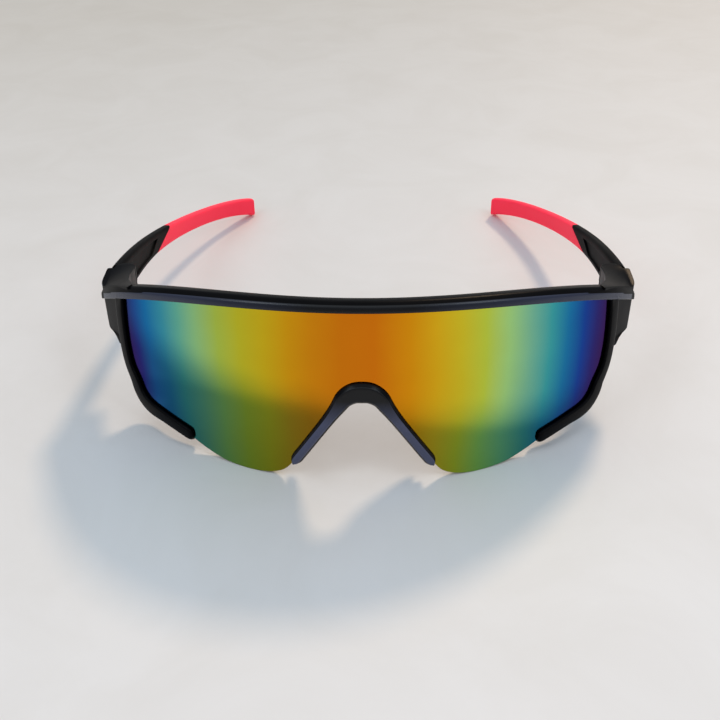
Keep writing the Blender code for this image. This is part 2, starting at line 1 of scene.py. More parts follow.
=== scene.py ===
# %% [markdown]
# # Wraparound sport sunglasses
#
# These are half-rim shield sunglasses. One big mirror lens hangs under a black nylon brow bar, two side
# rims hook under its corners, a nose bridge is clipped over its notch, and two temples fold behind it and
# end in soft red rubber. The measured model comes first, as a fixed frame. It could be used as it is, but
# its pieces are kept coarse for physics, so most of them get a finer twin that follows the same curves.

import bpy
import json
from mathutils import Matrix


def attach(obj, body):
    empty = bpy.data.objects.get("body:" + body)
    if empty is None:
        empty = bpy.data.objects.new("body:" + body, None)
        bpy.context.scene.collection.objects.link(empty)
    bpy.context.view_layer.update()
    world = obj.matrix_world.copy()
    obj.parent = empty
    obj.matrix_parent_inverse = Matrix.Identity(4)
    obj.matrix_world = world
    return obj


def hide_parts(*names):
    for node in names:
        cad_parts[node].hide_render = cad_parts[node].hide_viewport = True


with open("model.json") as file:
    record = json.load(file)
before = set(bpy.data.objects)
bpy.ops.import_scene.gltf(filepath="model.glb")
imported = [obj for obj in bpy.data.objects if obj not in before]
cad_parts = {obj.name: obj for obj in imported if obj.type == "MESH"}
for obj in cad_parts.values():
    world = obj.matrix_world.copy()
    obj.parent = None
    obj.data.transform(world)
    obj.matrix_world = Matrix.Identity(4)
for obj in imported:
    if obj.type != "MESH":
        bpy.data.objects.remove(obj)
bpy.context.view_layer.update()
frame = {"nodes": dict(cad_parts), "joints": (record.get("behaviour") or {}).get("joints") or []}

# %% [markdown]
# ## From the wearer's frame to the table
#
# Eyewear is drawn level, the way it is worn: X across the face, Y back along the temples, Z up. On a table
# it leans back, because it rests on the lens and on the temple tips. The hinge axis tells how much: it is
# upright when worn, and the joint in the record says where it points on the table.

# %% The lean on the table
from math import atan2, cos, exp, pi, radians, sin, sqrt

import bmesh
import bpy
from mathutils import Matrix, Vector

MM = 0.001
FACE_CURVE = 90.0 * MM
UPRIGHT_CURVE = 250.0 * MM
LEVEL_HEIGHT = 24.0 * MM


def lens_face(x, z, back=0.0):
    """A point on the lens's front face at width x and height z."""
    across = FACE_CURVE - sqrt(FACE_CURVE**2 - x * x)
    rise = ((z - LEVEL_HEIGHT) ** 2 - LEVEL_HEIGHT**2) / (2 * UPRIGHT_CURVE)
    return Vector((x, across + rise + back, z))


END_WIDTH = 74.6 * MM
HINGE_X = 69.5 * MM
HINGE_Y = lens_face(73.7 * MM, 35.0 * MM).y + 7.97 * MM
HINGE_Z = 34.0 * MM
fold = next(joint for joint in frame["joints"] if joint["name"] == "fold_right")
lean = atan2(fold["axis"][1], fold["axis"][2])
to_table = (Matrix.Translation(fold["pos_m"]) @ Matrix.Rotation(-lean, 4, "X")
            @ Matrix.Translation((-HINGE_X, -HINGE_Y, -HINGE_Z)))
print("the pair leans", round(lean * 180 / pi, 2), "degrees")

# %% [markdown]
# ## Camera
#
# The view is from in front and well above, close enough that the temples run together towards the back.
# A single camera object with a 41 mm lens does this. Its turn is built from three plain rotations: aim
# left or right, tip down, and roll.

# %% Camera
camera = bpy.data.objects.new("camera", bpy.data.cameras.new("camera"))
bpy.context.scene.collection.objects.link(camera)
camera.data.lens = 41.0
camera.data.sensor_width = 36.0
camera.data.clip_start = 0.01
camera.matrix_world = (Matrix.Translation((0.00547, -0.2349, 0.1512)) @ Matrix.Rotation(0.0372915, 4, "Z")
                       @ Matrix.Rotation(-0.624596, 4, "X") @ Matrix.Rotation(0.017917, 4, "Y")
                       @ Matrix.Rotation(pi / 2, 4, "X"))
bpy.context.scene.camera = camera
bpy.context.scene.view_settings.view_transform = "Standard"
print("camera", [round(v, 3) for v in camera.matrix_world.translation])

# %% [markdown]
# ## Helpers for curves and sections
#
# Almost every moulded piece here is a section carried along a path. A path is a few points joined by a
# smooth curve, and a section is an outline whose corners are rounded, because moulded nylon has no knife
# edges. A Bevel modifier could round them too, but it slips where pieces are joined, so the rounding is
# drawn into the section.

# %% Curves, rounded outlines and lofts
def between(a, b, share):
    return a + (b - a) * share


def smooth(points, count):
    """Count points spread evenly along a smooth curve through the given ones."""
    given = [Vector(p) for p in points]
    given = [2 * given[0] - given[1]] + given + [2 * given[-1] - given[-2]]
    dense = []
    for a, b, c, d in zip(given, given[1:], given[2:], given[3:]):
        for k in range(24):
            t = k / 24
            dense.append(0.5 * (2 * b + (c - a) * t + (2 * a - 5 * b + 4 * c - d) * t**2
                                + (3 * b - a - 3 * c + d) * t**3))
    dense.append(given[-2])
    run = [0.0]
    for a, b in zip(dense, dense[1:]):
        run.append(run[-1] + (b - a).length)
    result, at = [], 0
    for k in range(count):
        goal = run[-1] * k / (count - 1)
        while at < len(run) - 2 and run[at + 1] < goal:
            at += 1
        result.append(dense[at].lerp(dense[at + 1], (goal - run[at]) / (run[at + 1] - run[at])))
    return result


def soften(outline, radius, steps=3):
    """Rounds each corner of a closed outline with a short curve."""
    points = [Vector(p) for p in outline]
    result = []
    for k, here in enumerate(points):
        before, after = points[k - 1], points[(k + 1) % len(points)]
        a = here + (before - here) * min(radius / (before - here).length, 0.45)
        b = here + (after - here) * min(radius / (after - here).length, 0.45)
        for j in range(steps + 1):
            t = j / steps
            result.append(a.lerp(here, t).lerp(here.lerp(b, t), t))
    return result


def loft(name, rings):
    """A closed solid through rings of points."""
    bm = bmesh.new()
    rows = [[bm.verts.new(p) for p in ring] for ring in rings]
    size = len(rows[0])
    for low, high in zip(rows, rows[1:]):
        for k in range(size):
            m = (k + 1) % size
            bm.faces.new((low[k], low[m], high[m], high[k]))
    bm.faces.new(rows[0])
    bm.faces.new(list(reversed(rows[-1])))
    bmesh.ops.recalc_face_normals(bm, faces=bm.faces)
    mesh = bpy.data.meshes.new(name)
    bm.to_mesh(mesh)
    bm.free()
    made = bpy.data.objects.new(name, mesh)
    bpy.context.scene.collection.objects.link(made)
    return made


def turned(name, centre, profile, sides=48):
    """A solid turned about an upright axis, from (radius, height) pairs."""
    x, y = centre
    rings = [[(x + r * cos(2 * pi * k / sides), y + r * sin(2 * pi * k / sides), z) for k in range(sides)]
             for r, z in profile]
    return loft(name, rings)


def follow_lens(name, path, section):
    """Sweeps a section along a path on the lens. Section points are (outward along the face, back)."""
    rings = []
    for k, (x, z) in enumerate(path):
        before, after = path[max(k - 1, 0)], path[min(k + 1, len(path) - 1)]
        along = lens_face(*after) - lens_face(*before)
        step = 0.1 * MM
        back = (lens_face(x, z + step) - lens_face(x, z - step)).cross(
            lens_face(x + step, z) - lens_face(x - step, z)).normalized()
        out = back.cross(along).normalized()
        rings.append([lens_face(x, z) + out * a + back * b for a, b in section(k / (len(path) - 1))])
    return loft(name, rings)


def combine(target, operation, *others):
    """Joins or cuts solids exactly, and throws the tools away."""
    for other in others:
        change = target.modifiers.new(other.name, "BOOLEAN")
        change.operation = operation
        change.object = other
        change.solver = "EXACT"
    mesh = bpy.data.meshes.new_from_object(target.evaluated_get(bpy.context.evaluated_depsgraph_get()))
    target.modifiers.clear()
    target.data = mesh
    for other in others:
        bpy.data.objects.remove(other, do_unlink=True)


def place(made, body, slot, material, *nodes, angle=40):
    """Lays a finished piece on the table, gives it its finish and ties it to its body."""
    made.data.transform(to_table)
    made.data.materials.clear()
    made.data.materials.append(material)
    made.data.shade_smooth()
    made.data.set_sharp_from_angle(angle=radians(angle))
    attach(made, body)
    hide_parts(*nodes)
    print(made.name, len(made.data.polygons), "faces on", body)
    return made


# %% [markdown]
# ## Helpers for finishes
#
# Every finish is a small net of nodes around one Principled shader. Most share the same idea: a noise
# pattern, sized in real millimetres by Object coordinates, drives a little bump and a little change of
# roughness. That small unevenness is what makes plastic look moulded rather than drawn.

# %% Node helpers
def finish(name, colour, roughness, metallic=0.0, specular=0.5):
    """A Principled material with its node tree and shader."""
    made = bpy.data.materials.new(name)
    made.use_nodes = True
    tree = made.node_tree
    shader = tree.nodes["Principled BSDF"]
    shader.inputs["Base Color"].default_value = (*colour, 1.0)
    shader.inputs["Roughness"].default_value = roughness
    shader.inputs["Metallic"].default_value = metallic
    shader.inputs["Specular IOR Level"].default_value = specular
    return made, tree, shader


def node(tree, kind, **values):
    """Adds a node. Names that match an input set it, the others set the node itself."""
    made = tree.nodes.new("ShaderNode" + kind)
    for key, value in values.items():
        name = key.replace("_", " ").title()
        if name in made.inputs:
            made.inputs[name].default_value = value
        else:
            setattr(made, key, value)
    return made


def spread(tree, source, low, high):
    """Stretches a 0 to 1 value between two others."""
    made = node(tree, "MapRange", from_min=0.0, from_max=1.0, to_min=low, to_max=high)
    tree.links.new(source, made.inputs["Value"])
    return made.outputs["Result"]


def grain(tree, shader, size, strength, rough, depth=0.00004, rounding=0.0):
    """Fine surface grain: bump and roughness from noise, in metres, over softly rounded joins."""
    where = node(tree, "TexCoord")
    fine = node(tree, "TexNoise", scale=1 / size, detail=3.0, roughness=0.6)
    wide = node(tree, "TexNoise", scale=0.06 / size, detail=2.0)
    for noise in (fine, wide):
        tree.links.new(where.outputs["Object"], noise.inputs["Vector"])
    bump = node(tree, "Bump", strength=strength, distance=depth)
    tree.links.new(fine.outputs[0], bump.inputs["Height"])
    if rounding:
        round_off = node(tree, "Bevel", samples=4, radius=rounding)
        tree.links.new(round_off.outputs["Normal"], bump.inputs["Normal"])
    tree.links.new(bump.outputs["Normal"], shader.inputs["Normal"])
    tree.links.new(spread(tree, wide.outputs[0], *rough), shader.inputs["Roughness"])
    return fine, wide


# %% [markdown]
# ## Black nylon
#
# The frame, the arms and the nose bridge are moulded nylon. It is nearly black, with a satin skin: a low
# reflection that spreads, so a bevel turned to the sky shows as a soft blue-grey band and the rest stays
# dark. Along the bar's front and down the bridge's legs that band is also painted in: those faces take a
# second finish whose colour runs from black to a blue-grey slate along the piece, a painted highlight.

# %% Nylon finishes
def nylon(name, colour, rough, specular, grain_size):
    made, tree, shader = finish(name, colour, rough[0], specular=specular)
    fine, wide = grain(tree, shader, grain_size, 0.35, rough, rounding=0.3 * MM)
    tint = node(tree, "Mix", data_type="RGBA")
    tint.inputs[6].default_value = (*colour, 1.0)
    tint.inputs[7].default_value = (*(c * 1.9 for c in colour), 1.0)
    tree.links.new(wide.outputs[0], tint.inputs[0])
    tree.links.new(tint.outputs[2], shader.inputs["Base Color"])
    return made


frame_nylon = nylon("frame_nylon", (0.0012, 0.0012, 0.0015), (0.28, 0.38), 0.045, 0.35 * MM)
arm_nylon = nylon("arm_nylon", (0.0012, 0.0012, 0.0014), (0.36, 0.48), 0.025, 0.4 * MM)
bridge_nylon = nylon("bridge_nylon", (0.0012, 0.0012, 0.0016), (0.2, 0.28), 0.12, 0.3 * MM)


def painted_highlight_satin(name, highlight_colour, axis, low, high, rough, specular):
    """Satin whose colour runs from black to a painted blue-grey highlight between two places along an axis."""
    made, tree, shader = finish(name, highlight_colour, rough[0], specular=specular)
    grain(tree, shader, 0.3 * MM, 0.35, rough, rounding=0.15 * MM)
    where = node(tree, "TexCoord")
    split = node(tree, "SeparateXYZ")
    tree.links.new(where.outputs["Object"], split.inputs["Vector"])
    size = node(tree, "Math", operation="ABSOLUTE")
    tree.links.new(split.outputs[axis], size.inputs[0])
    share = node(tree, "MapRange", from_min=low, from_max=high)
    tree.links.new(size.outputs[0], share.inputs["Value"])
    # Painted highlight: the colour runs from black to the blue-grey highlight colour.
    tone = node(tree, "Mix", data_type="RGBA")
    tone.inputs[6].default_value = (0.0015, 0.0015, 0.002, 1.0)
    tone.inputs[7].default_value = (*highlight_colour, 1.0)
    tree.links.new(share.outputs["Result"], tone.inputs[0])
    tree.links.new(tone.outputs[2], shader.inputs["Base Color"])
    return made


# Both finishes paint a highlight into their colour: the blue-grey slate stands in for the sky mirrored by the bar's
# front band and by the bridge's legs.
band_painted_highlight = painted_highlight_satin("band_painted_highlight", (0.026, 0.031, 0.056), "X", 12 * MM, 44 * MM, (0.2, 0.3), 0.35)
leg_painted_highlight = painted_highlight_satin("leg_painted_highlight", (0.07, 0.076, 0.13), "Z", 26.5 * MM, 19.5 * MM, (0.28, 0.38), 0.3)
print("nylon finishes:", frame_nylon.name, arm_nylon.name, bridge_nylon.name)

# %% [markdown]
# ## Mirror coating
#
# The lens is smoke-grey polycarbonate with a stack of thin films on its front. The films reflect one part
# of the light strongly, and which part changes with their thickness and with the slant of the surface, so
# the colour runs from orange in the middle through yellow, green and teal to blue and violet at the sides.
# A thin-film shader would shift with every view. Here the run is a colour ramp across the lens, used as
# the tint of a polished metal, so the shine and what it mirrors come from the room. Low on the lens the
# ramp blends into a second run, greener and darker: the greener tone is the coating's own, the darker tone
# is a painted shadow, the pair's shadow on the table as the lens mirrors it, laid over the real reflection,
# and the line where it starts slants higher on the left.

# %% Lens finishes
HALF_LENS = 66.8 * MM
UPPER_RUN = [(-66, "241838"), (-61, "1b4c8c"), (-57, "166ba0"), (-52, "35889a"), (-47, "5aa08c"),
             (-42, "7fae74"), (-36, "98ac42"), (-30, "aba626"), (-24, "b69c1a"), (-18, "bb8812"),
             (-12, "bb7810"), (-5, "ba6a0e"), (3, "bd680e"), (12, "c4820f"), (18, "c59a18"),
             (24, "bbaa24"), (30, "a8b63a"), (36, "8fba70"), (42, "68a488"), (47, "379294"),
             (52, "1b6c98"), (57, "173f8c"), (61, "2a2a68"), (66, "3a1e40")]
# The lower run: the coating's greener tone, darkened by a painted shadow, the mirrored shadow of the pair on the table.
LOWER_RUN_WITH_PAINTED_SHADOW = [(-66, "2a1c50"), (-61, "20307a"), (-57, "185c92"), (-52, "1c6484"), (-47, "307a76"),
             (-42, "4a8468"), (-36, "66904c"), (-30, "7c902c"), (-24, "8c8c20"), (-18, "94781c"),
             (-12, "9a6a16"), (0, "a4640f"), (12, "ac7a10"), (18, "aa9420"), (24, "98a42c"),
             (30, "78a850"), (36, "5c9c6e"), (42, "35847c"), (47, "1a6c88"), (52, "164a84"),
             (57, "202c6c"), (62, "2a1c50"), (66, "381e40")]


def linear(code, gain=1.0):
    """A hex colour as linear light."""
    parts = [int(code[k:k + 2], 16) / 255 for k in (0, 2, 4)]
    return [min(0.98, gain * (c / 12.92 if c <= 0.04045 else ((c + 0.055) / 1.055) ** 2.4)) for c in parts]


def colour_run(tree, stops, gain):
    """A colour ramp over the lens's width."""
    made = node(tree, "ValToRGB")
    ramp = made.color_ramp
    for k, (x, code) in enumerate(stops):
        at = (x * MM / HALF_LENS + 1) / 2
        stop = ramp.elements[k] if k < 2 else ramp.elements.new(at)
        stop.position = at
        stop.color = (*linear(code, gain), 1.0)
    return made


def mirror(name):
    made, tree, shader = finish(name, (0.6, 0.3, 0.02), 0.07, metallic=1.0)
    shader.inputs["Specular Tint"].default_value = (0.6, 0.5, 0.6, 1.0)
    where = node(tree, "TexCoord")
    level = node(tree, "Mapping")
    level.inputs["Rotation"].default_value = (lean, 0.0, 0.0)
    level.inputs["Location"].default_value = to_table.inverted().translation
    tree.links.new(where.outputs["Object"], level.inputs["Vector"])
    uneven = node(tree, "TexNoise", scale=55.0, detail=2.0, roughness=0.5)
    tree.links.new(level.outputs["Vector"], uneven.inputs["Vector"])
    drift = node(tree, "VectorMath", operation="MULTIPLY_ADD")
    drift.inputs[1].default_value = (2.4 * MM, 2.4 * MM, 2.4 * MM)
    tree.links.new(uneven.outputs[1], drift.inputs[0])
    tree.links.new(level.outputs["Vector"], drift.inputs[2])
    split = node(tree, "SeparateXYZ")
    tree.links.new(drift.outputs["Vector"], split.inputs["Vector"])
    width = node(tree, "MapRange", from_min=-HALF_LENS + 1.2 * MM, from_max=HALF_LENS + 1.2 * MM)
    tree.links.new(split.outputs["X"], width.inputs["Value"])
    # Painted shadow: below a line that slants up to the left, the darker lower run takes over.
    painted_shadow_line = node(tree, "Math", operation="MULTIPLY_ADD")
    painted_shadow_line.inputs[1].default_value = 0.15
    tree.links.new(split.outputs["X"], painted_shadow_line.inputs[0])
    tree.links.new(split.outputs["Z"], painted_shadow_line.inputs[2])
    height = node(tree, "MapRange", from_min=16 * MM, from_max=30 * MM, interpolation_type="SMOOTHSTEP")
    tree.links.new(painted_shadow_line.outputs[0], height.inputs["Value"])
    coating_and_shadow_mix = node(tree, "Mix", data_type="RGBA")
    tree.links.new(height.outputs["Result"], coating_and_shadow_mix.inputs[0])
    for socket, stops, gain in ((6, LOWER_RUN_WITH_PAINTED_SHADOW, 1.05), (7, UPPER_RUN, 1.32)):
        run = colour_run(tree, stops, gain)
        tree.links.new(width.outputs["Result"], run.inputs["Fac"])
        tree.links.new(run.outputs["Color"], coating_and_shadow_mix.inputs[socket])
    tree.links.new(coating_and_shadow_mix.outputs[2], shader.inputs["Base Color"])
    smear = node(tree, "TexNoise", scale=120.0, detail=4.0, roughness=0.65, distortion=0.6)
    tree.links.new(level.outputs["Vector"], smear.inputs["Vector"])
    tree.links.new(spread(tree, smear.outputs[0], 0.05, 0.17), shader.inputs["Roughness"])
    return made


mirror_film = mirror("mirror_film")
smoke_back, smoke_tree, smoke_shader = finish("smoke_back", (0.016, 0.014, 0.013), 0.08)
grain(smoke_tree, smoke_shader, 3.0 * MM, 0.03, (0.05, 0.12))
cut_edge, edge_tree, edge_shader = finish("cut_edge", (0.34, 0.27, 0.03), 0.3)
grain(edge_tree, edge_shader, 0.5 * MM, 0.2, (0.25, 0.4))
print("lens finishes:", mirror_film.name, smoke_back.name, cut_edge.name)

# %% [markdown]
# ## The shield lens
#
# The real lens is one sheet cut from a toric blank, curved strongly across the face and barely up and
# down. A flat sheet bent by modifiers would lose the true curve, so a fine grid is laid straight on the
# curve, from the cut lower edge up into the brow bar, and thickened towards the face. The front, the back
# and the cut edge get three finishes.

# %% Lens
LENS_THICKNESS = 1.8 * MM
EDGE_POINTS = [(0, 27.3), (2.4, 26.9), (4.6, 25.0), (6.5, 22.3), (9.4, 18.0), (12.4, 13.4), (15.3, 8.9),
               (18.1, 4.7), (20.6, 1.7), (24.0, 0.1), (28.5, -0.5), (33.0, -0.3), (38.0, 0.6), (43.0, 2.6),
               (48.0, 5.1), (54.0, 7.3), (59.8, 8.7), (63.2, 10.6), (65.3, 14.0), (66.8, 19.0)]


def brow(x):
    """Height of the brow bar's lower front edge."""
    return 47.8 * MM - 0.59 * x * x - 333.0 * x**4


def lens_sheet(name, grow, front, thickness, across, rows):
    """The lens as a closed sheet, grown at its edges by a clearance."""
    points = [p * MM for p in smooth(EDGE_POINTS, across)]
    lower = []
    for k, p in enumerate(points):
        before, after = points[max(k - 1, 0)], points[min(k + 1, across - 1)]
        along = (after - before).normalized()
        out = Vector((along.y, -along.x)) if k else Vector((0.0, -1.0))
        lower.append(p + out * grow)
    lower[0].x = 0.0
    columns = [Vector((-p.x, p.y)) for p in reversed(lower[1:])] + lower
    side = lower[-1].x
    bm = bmesh.new()
    sheets = []
    for back in (-front, thickness - front):
        sheet = []
        for p in columns:
            high = brow(max(-side, min(side, p.x))) + 1.3 * MM + grow
            sheet.append([bm.verts.new(lens_face(p.x, between(p.y, high, r / rows), back))
                          for r in range(rows + 1)])
        sheets.append(sheet)
    for which, sheet in enumerate(sheets):
        for a, b in zip(sheet, sheet[1:]):
            for r in range(rows):
                bm.faces.new((a[r], b[r], b[r + 1], a[r + 1])).material_index = which
    rim = [[s[0][r] for r in range(rows + 1)] + [c[rows] for c in s[1:]]
           + [s[-1][r] for r in range(rows - 1, -1, -1)] + [c[0] for c in reversed(s[1:-1])] for s in sheets]
    for k in range(len(rim[0])):
        m = (k + 1) % len(rim[0])
        bm.faces.new((rim[0][k], rim[0][m], rim[1][m], rim[1][k])).material_index = 2
    bmesh.ops.recalc_face_normals(bm, faces=bm.faces)
    mesh = bpy.data.meshes.new(name)
    bm.to_mesh(mesh)
    bm.free()
    made = bpy.data.objects.new(name, mesh)
    bpy.context.scene.collection.objects.link(made)
    return made


lens = lens_sheet("mirror_lens", 0.0, 0.0, LENS_THICKNESS, 90, 18)
faces = [f.material_index for f in lens.data.polygons]
place(lens, "front", "lens_mirror", mirror_film, "shield_lens")
lens.data.materials.append(smoke_back)
lens.data.materials.append(cut_edge)
lens.data.polygons.foreach_set("material_index", faces)

# %% [markdown]
# ## The front frame
#
# The brow bar, the end pieces, the hinge ears and the side rims are one moulding with a groove for the
# lens. Each is swept or lofted on its own, then they are joined exactly and the groove is cut with a
# slightly larger copy of the lens. The bar's front is bevelled, and that bevel is what catches the light.

# %% Brow bar
FIT_GAP = 0.3 * MM
BAR_HALF = 73.2 * MM
BAR_FRONT = 1.1 * MM


def bar_top(x):
    return brow(x) + 2.7 * MM + 0.7 * MM * (x / BAR_HALF) ** 2


def bar_section(share):
    x = between(-BAR_HALF, BAR_HALF, share)
    top = bar_top(x) - brow(x)
    rear = 4.2 * MM - BAR_FRONT
    outline = [(0, -BAR_FRONT), (1.7 * MM, -BAR_FRONT * 0.8), (top, 0.45 * MM), (top, rear), (0, rear)]
    return [(-a, b) for a, b in soften(outline, 0.42 * MM)]


widths = [between(-BAR_HALF, BAR_HALF, k / 120) for k in range(121)]
front = follow_lens("front_moulding", [(x, brow(x)) for x in widths], bar_section)
print("brow bar", round(2 * BAR_HALF / MM), "mm wide")

# %% Side rims
RIM_POINTS = [(45.9, 7.0), (50.0, 8.2), (55.0, 9.5), (59.4, 10.6), (61.6, 12.4), (62.9, 15.8),
              (64.6, 19.6), (65.2, 24.0), (65.2, 30.0), (64.8, 36.0)]


def rim_section(share):
    """The rim's section, rounded off at the hooked end."""
    closing = min(1.0, share / 0.04)
    fill = between(0.3, 1.0, sqrt(1 - (1 - closing) ** 2))
    width = 4.7 * MM + 1.0 * MM * exp(-((share - 0.4) / 0.13) ** 2)
    rear = LENS_THICKNESS + 1.2 * MM
    outline = [(0, -1.0 * MM), (width - 1.3 * MM, -1.0 * MM), (width, 0.5 * MM), (width, rear), (0, rear)]
    return [(width / 2 + (a - width / 2) * fill, between(rear / 3, b, between(0.75, 1.0, fill)))
            for a, b in soften(outline, 0.5 * MM)]


def side_rim(side):
    points = [p * MM for p in smooth(RIM_POINTS, 80)]
    points.append(Vector((64.2 * MM, brow(64.2 * MM) + 1.7 * MM)))
    return follow_lens(f"rim_{side}", [(side * p.x, p.y) for p in points],
                       lambda share: [(a * side, b) for a, b in rim_section(share)])


rims = [side_rim(side) for side in (-1, 1)]
print("side rims", [len(rim.data.vertices) for rim in rims])

# %% End pieces and ears
TOP = 40.9 * MM
BOTTOM = 25.4 * MM
EAR_BOTTOM = 27.8 * MM
EAR_RADIUS = 3.1 * MM
TEMPLE_GAP = 0.65 * MM


def crown(x, y):
    """The height of the frame's top: the bar's own, easing over to the ear's behind it."""
    bar = min(abs(x), BAR_HALF)
    bar_rear = lens_face(bar, TOP).y + 3.1 * MM
    bar_rear -= 2.0 * MM
    rise = max(0.0, min(1.0, (y - bar_rear) / (HINGE_Y + 1.5 * MM - bar_rear)))
    return between(bar_top(bar) + 0.1 * MM, TOP, rise)


def cover(side, top):
    """Everything above a surface at one side, as a block with that surface underneath."""
    xs = [between(54.0, 78.0, k / 40) * MM for k in range(41)]
    rings = []
    for k in range(57):
        y = between(18.0, 52.0, k / 56) * MM
        rings.append([(side * x, y, top(x, y)) for x in xs]
                     + [(side * xs[-1], y, 60.0 * MM), (side * xs[0], y, 60.0 * MM)])
    return loft(f"cover_{side}", rings)


def end_piece(side):
    """From the bar's corner back to the hinge, with a coved foot that runs into the rim."""
    inner = END_WIDTH - 8.4 * MM
    level = TOP - 5.9 * MM
    rear = HINGE_Y + TEMPLE_GAP - 0.42 * MM
    start = lens_face(inner - 4.0 * MM, level).y + 5.0 * MM
    rings = []
    # height, how far the outer side stands in, and how deep the foot is cut away
    for height, inset, foot in ((TOP + 6.0 * MM, 0.0, 0.0), (TOP - 2.9 * MM, 0.0, 0.0),
                                (EAR_BOTTOM + 0.4 * MM, 0.1, 0.0), (BOTTOM + 0.6 * MM, 0.2, 2.4),
                                (BOTTOM + 0.2 * MM, 0.3, 2.8), (BOTTOM, 0.7, 3.4), (BOTTOM - 0.1 * MM, 1.9, 7.0),
                                (BOTTOM - 0.9 * MM, 3.2, 7.6), (BOTTOM - 2.4 * MM, 4.2, 8.0)):
        outer = END_WIDTH - inset * MM
        back = rear - foot * MM
        corner = lens_face(outer - 0.9 * MM, level, 0.7 * MM).y
        middle = (inner + outer) / 2
        outline = [(inner, lens_face(inner, level, 0.7 * MM).y), (middle, lens_face(middle, level, 0.7 * MM).y),
                   (outer - 0.4 * MM, corner), (outer - 0.05 * MM, corner + 1.5 * MM),
                   (outer, corner + 3.0 * MM), (outer - 0.1 * MM, back), (HINGE_X, back),
                   (HINGE_X - EAR_RADIUS, back - 0.6 * MM), (inner - 0.2 * MM, HINGE_Y - 6.4 * MM),
                   (inner - 1.6 * MM, start + 3.9 * MM), (inner - 5.0 * MM, start - 3.6 * MM),
                   (inner - 4.0 * MM, start - 5.1 * MM)]
        rings.append([(side * x, y, height) for x, y in soften([(x, min(y, back)) for x, y in outline], 0.6 * MM)])
    return loft(f"end_{side}", rings)


solids = list(rims)
for rim, side in zip(rims, (-1, 1)):
    combine(rim, "DIFFERENCE", cover(side, lambda x, y: brow(min(x, BAR_HALF)) + 1.2 * MM))
for side in (-1, 1):
    end = end_piece(side)
    ear = turned(f"ear_{side}", (side * HINGE_X, HINGE_Y),
                 [(EAR_RADIUS - 0.3 * MM, EAR_BOTTOM), (EAR_RADIUS, EAR_BOTTOM + 0.3 * MM),
                  (EAR_RADIUS, TOP + 4.0 * MM)])
    combine(end, "UNION", ear)
    combine(end, "DIFFERENCE", cover(side, crown))
    solids.append(end)
combine(front, "UNION", *solids)
print("front joined:", len(front.data.polygons), "faces")

# %% Groove and hinge pockets
KNUCKLE_LOW, KNUCKLE_HIGH, KNUCKLE_RADIUS = 31.6 * MM, 36.4 * MM, 2.7 * MM


def bar_block(name, low, high):
    """A box between two corners, as a loft of two rectangles."""
    (a, b, c), (d, e, f) = low, high
    return loft(name, [[(a, b, z), (d, b, z), (d, e, z), (a, e, z)] for z in (c, f)])


cuts = [lens_sheet("groove", FIT_GAP, FIT_GAP, LENS_THICKNESS + 2 * FIT_GAP, 90, 4)]
for side in (-1, 1):
    axis = (side * HINGE_X, HINGE_Y)
    low, high = KNUCKLE_LOW - 0.3 * MM, KNUCKLE_HIGH + 0.3 * MM
    reach = EAR_RADIUS + 1.5 * MM
    cuts.append(turned(f"slot_{side}", axis, [(KNUCKLE_RADIUS + 0.3 * MM, low), (KNUCKLE_RADIUS + 0.3 * MM, high)]))
    cuts.append(bar_block(f"mouth_{side}", (axis[0] - reach, HINGE_Y, low), (axis[0] + reach, HINGE_Y + reach, high)))
    cuts.append(turned(f"way_{side}", axis, [(0.85 * MM, EAR_BOTTOM - 3 * MM), (0.85 * MM, high + 2.4 * MM)], 24))
    cuts.append(turned(f"head_{side}", axis, [(1.5 * MM, EAR_BOTTOM - 3 * MM), (1.5 * MM, EAR_BOTTOM + 1.5 * MM)], 32))
    cuts.append(turned(f"bush_{side}", axis, [(1.6 * MM, high - 0.2 * MM), (1.6 * MM, high + 2.7 * MM)], 32))
combine(front, "DIFFERENCE", *cuts)
place(front, "front", "frame_black", frame_nylon, "front_frame")

# %% [markdown]
# The narrow band along the bar's front needs no piece of its own: the faces that lie on it take the second
# finish, with its painted highlight.

# %% Painted highlight band on the bar
front.data.materials.append(band_painted_highlight)
to_wearer = to_table.inverted()
highlight_faces = 0
for face in front.data.polygons:
    spot = to_wearer @ face.center
    if abs(spot.x) < BAR_HALF:
        up = spot.z - brow(spot.x)
        behind = spot.y - lens_face(spot.x, spot.z).y
        if 0.1 * MM < up < 2.1 * MM and behind < -0.6 * MM:
            # These faces get the painted blue-grey highlight.
            face.material_index = 1
            highlight_faces += 1
print(highlight_faces, "faces in the band")

# %% [markdown]
# ## The nose bridge and its pads
#
# The bridge is a separate clip, pressed over the lens notch: wide over the top, slim along the legs, with
# a flat satin front and rounded flanks. Two soft pads are pegged to its legs and flare out behind them.
# Both are sweeps along the notch, and the bridge is grooved for the lens like the frame.

# %% Nose bridge
NOSE_POINTS = [(0, 27.0), (2.2, 26.7), (4.4, 25.2), (6.2, 22.5), (9.1, 18.1), (12.1, 13.6), (15.0, 9.2),
               (17.9, 4.8)]


def nose_section(share):
    from_end = min(share, 1 - share)
    closing = min(1.0, from_end / 0.035)
    fill = between(0.25, 1.0, sqrt(1 - (1 - closing) ** 2))
    half = between(3.1, 5.6, exp(-((share - 0.5) / 0.13) ** 2)) / 2 * MM * fill
    rear = LENS_THICKNESS + 2.6 * MM
    flank = min(0.75 * MM, half * 0.45)
    outline = [(-half, -0.5 * MM), (-half + 1.2 * flank, -1.5 * MM), (half - 1.2 * flank, -1.5 * MM), (half, -0.6 * MM),
               (half, rear), (-half, rear)]
    return soften(outline, 0.35 * MM)


